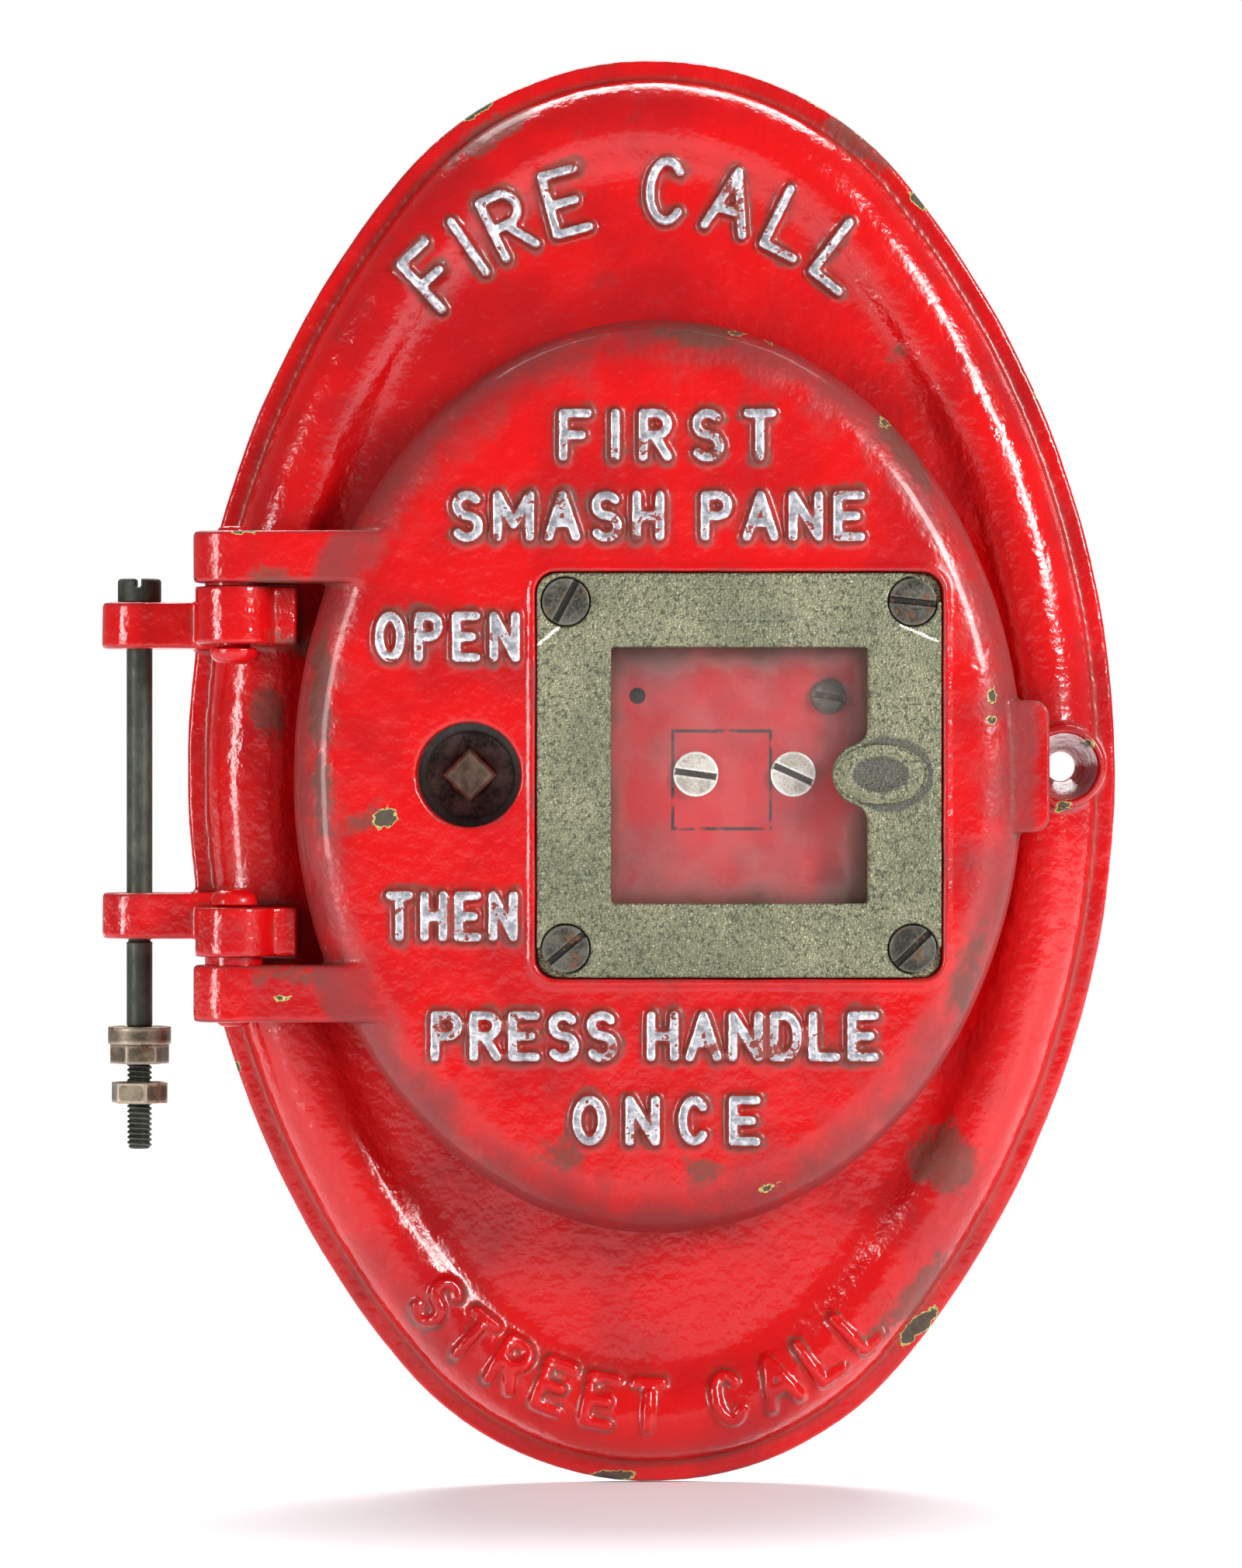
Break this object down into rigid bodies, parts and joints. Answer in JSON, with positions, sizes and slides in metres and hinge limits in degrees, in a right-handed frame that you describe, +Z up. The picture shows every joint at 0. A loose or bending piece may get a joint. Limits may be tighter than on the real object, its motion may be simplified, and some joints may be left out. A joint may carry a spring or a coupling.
{
  "type": "street fire alarm box front",
  "caption": "Oval cast front of a wall fire alarm station: inner door with breakable window, key lock and pull lever, swinging on a long hinge bolt.",
  "frame": {"origin": "centre of the oval cover on the plane of its rear rim, which seats on the case", "axes": "the front faces -Y, +X is to the viewer's right and +Z is up"},
  "size_m": [0.2496, 0.0478, 0.351],
  "materials": {
    "red_casting": "glossy red paint over cast iron, worn at the edges",
    "door_casting": "glossy red paint over cast iron, worn at the edges",
    "bolt_steel": "oxidised, dark grey-green",
    "nut_steel": "oxidised, brown",
    "pin_paint": "red paint, worn",
    "frame_bronze": "grey-green gritty cast bronze",
    "screw_dark": "dark, aged",
    "screw_pale": "pale nickel plate",
    "pane_glass": "clear, dirty",
    "gasket_felt": "felt",
    "guard_red": "faded red paint",
    "lock_brass": "dull brass",
    "lock_steel": "plain steel",
    "key_steel": "grey-brown aged steel",
    "knob_black": "black moulded",
    "contact_phenolic": "brown moulded insulator",
    "spring_steel": "spring steel"
  },
  "bodies": {
    "bolt": {"hinge_bolt": "bolt_steel", "hinge_bolt_washers": "nut_steel", "hinge_bolt_nuts": "nut_steel"},
    "cover": {"outer_cover": "red_casting", "strike_plate": "lock_steel", "strike_screws": "screw_dark", "base_plate": "lock_steel", "base_plate_screws": "screw_dark", "lever_stud": "lock_steel", "lever_stud_nut": "nut_steel", "lever_spring": "spring_steel", "lever_stop": "lock_steel", "contact_block": "contact_phenolic", "contact_leaves": "lock_brass", "terminal_screws": "lock_brass"},
    "door": {"inner_door": "door_casting", "door_pins": "pin_paint", "door_pin_washers": "pin_paint", "window_frame": "frame_bronze", "frame_screws": "screw_dark", "glass_pane": "pane_glass", "glass_gaskets": "gasket_felt", "guard_plate": "guard_red", "guard_posts": "lock_brass", "guard_screws": "screw_pale", "guard_dome_screw": "screw_pale", "lock_plate": "lock_steel", "lock_plate_screws": "screw_dark", "spindle_bush": "lock_brass", "latch_guides": "lock_brass", "guide_screws": "screw_dark"},
    "spindle": {"lock_spindle": "key_steel", "spindle_arm": "lock_steel", "spindle_arm_pin": "lock_steel"},
    "latch": {"latch_bar": "lock_brass"},
    "lever": {"pull_lever": "lock_brass", "lever_knob": "knob_black", "knob_rivet": "lock_steel"}
  },
  "joints": [
    {"name": "cover_swing", "type": "hinge", "parent": "bolt", "child": "cover", "pos_m": [-0.126, -0.008, 0], "axis": [0, 0, -1], "range_deg": [0, 150]},
    {"name": "door_swing", "type": "hinge", "parent": "cover", "child": "door", "pos_m": [-0.1018, -0.025, 0], "axis": [0, 0, -1], "range_deg": [0, 165]},
    {"name": "spindle_turn", "type": "hinge", "parent": "door", "child": "spindle", "pos_m": [-0.0444, -0.012, -0.0011], "axis": [0, -1, 0], "range_deg": [0, 60]},
    {"name": "latch_slide", "type": "slide", "parent": "door", "child": "latch", "axis": [1, 0, 0], "range_m": [0, 0.012]},
    {"name": "lever_pull", "type": "hinge", "parent": "cover", "child": "lever", "pos_m": [-0.038, -0.004, 0.052], "axis": [0, 1, 0], "range_deg": [0, 25], "stiffness_Nm_per_rad": 0.4, "springref_deg": -20.05}
  ],
  "couplings": [
    {"joint": "latch_slide", "follows": "spindle_turn", "m_per_rad": 0.011459}
  ]
}
